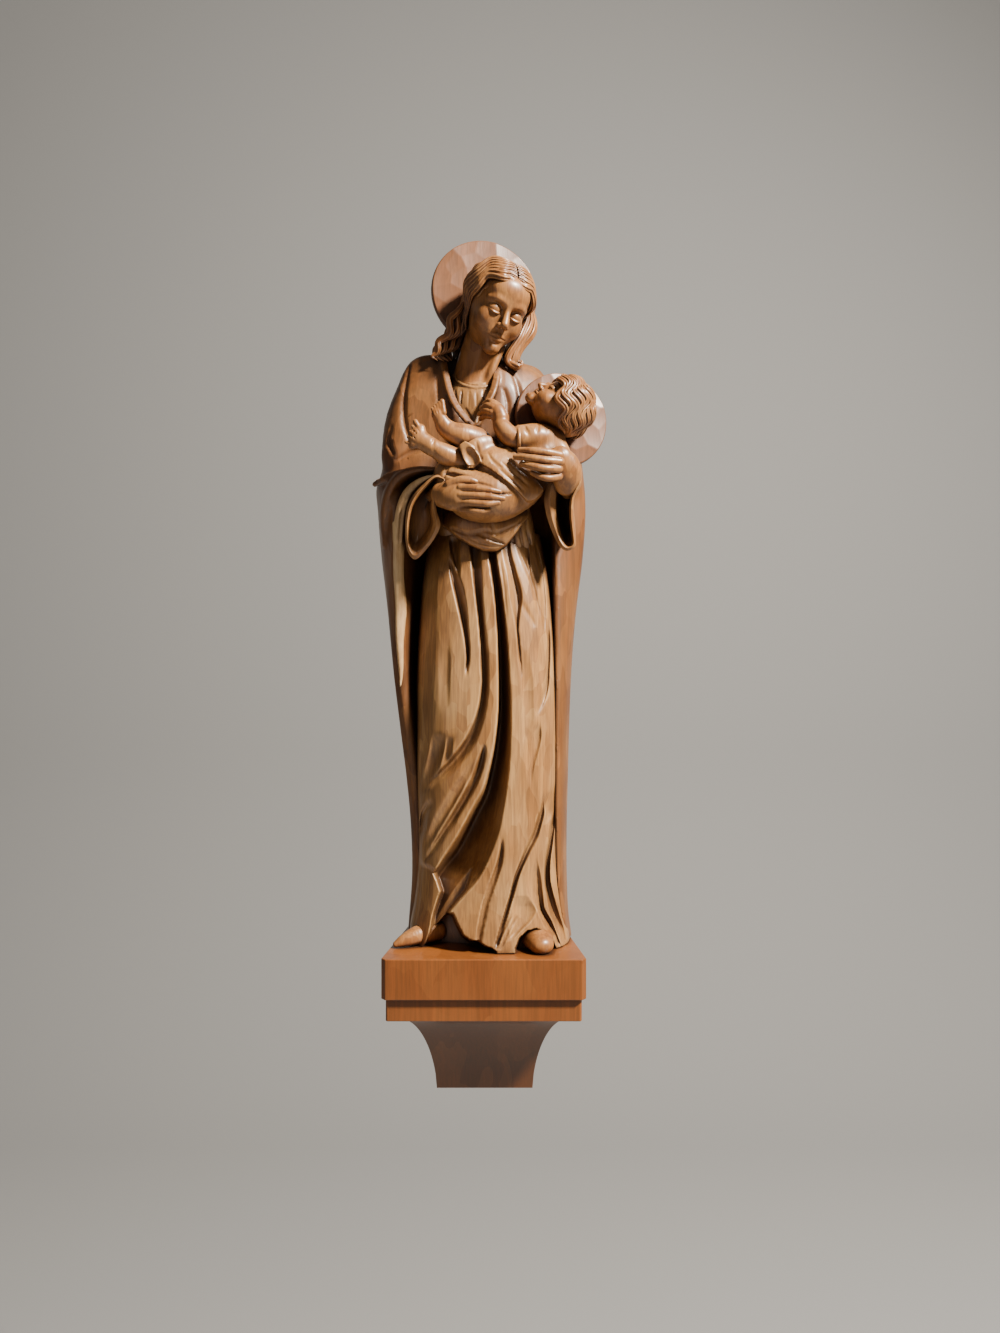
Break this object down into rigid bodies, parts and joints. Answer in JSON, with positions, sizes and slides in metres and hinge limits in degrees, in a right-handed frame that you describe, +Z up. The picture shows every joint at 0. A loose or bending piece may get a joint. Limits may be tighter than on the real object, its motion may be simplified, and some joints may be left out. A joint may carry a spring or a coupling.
{
  "type": "madonna statue",
  "caption": "Carved wooden Madonna with the Child on her arm, both with disc haloes, on a rectangular plinth and a small wall console with a hollow-moulded corbel.",
  "frame": {"origin": "on the wall plane, on the console's centre line, half way up the flat back of the console", "axes": "+Z up, the wall is the plane Y = 0, the figure faces -Y, +X is to the right of someone who looks at the figure"},
  "size_m": [0.197, 0.1233, 0.7228],
  "materials": {
    "light_wood": "light limewood stain, satin wax",
    "mid_wood": "golden brown stain, satin wax",
    "console_wood": "orange brown stain, satin wax",
    "raw_wood": "unfinished beech",
    "steel": "zinc-plated"
  },
  "bodies": {
    "console": {"corbel": "console_wood", "console_board": "console_wood", "locating_pin_left": "raw_wood", "locating_pin_right": "raw_wood", "hanger_left": "steel", "hanger_right": "steel", "hanger_screw_left_upper": "steel", "hanger_screw_left_lower": "steel", "hanger_screw_right_upper": "steel", "hanger_screw_right_lower": "steel"},
    "figure": {"plinth": "console_wood", "dress": "light_wood", "mantle": "mid_wood", "waist_swag": "light_wood", "right_sleeve": "mid_wood", "left_sleeve": "mid_wood", "right_shoe": "light_wood", "left_shoe": "light_wood", "head": "light_wood", "halo": "mid_wood", "halo_dowel": "raw_wood", "right_hand": "light_wood", "left_hand": "light_wood", "child_body": "light_wood", "child_head": "light_wood", "child_halo": "mid_wood", "child_halo_dowel": "raw_wood", "child_arm": "light_wood", "child_lower_leg": "light_wood", "child_upper_leg": "light_wood", "figure_screw_left": "steel", "figure_screw_right": "steel"}
  },
  "joints": [
    {"name": "figure_lift", "type": "slide", "parent": "console", "child": "figure", "axis": [0, 0, 1], "range_m": [0, 0.02]}
  ]
}
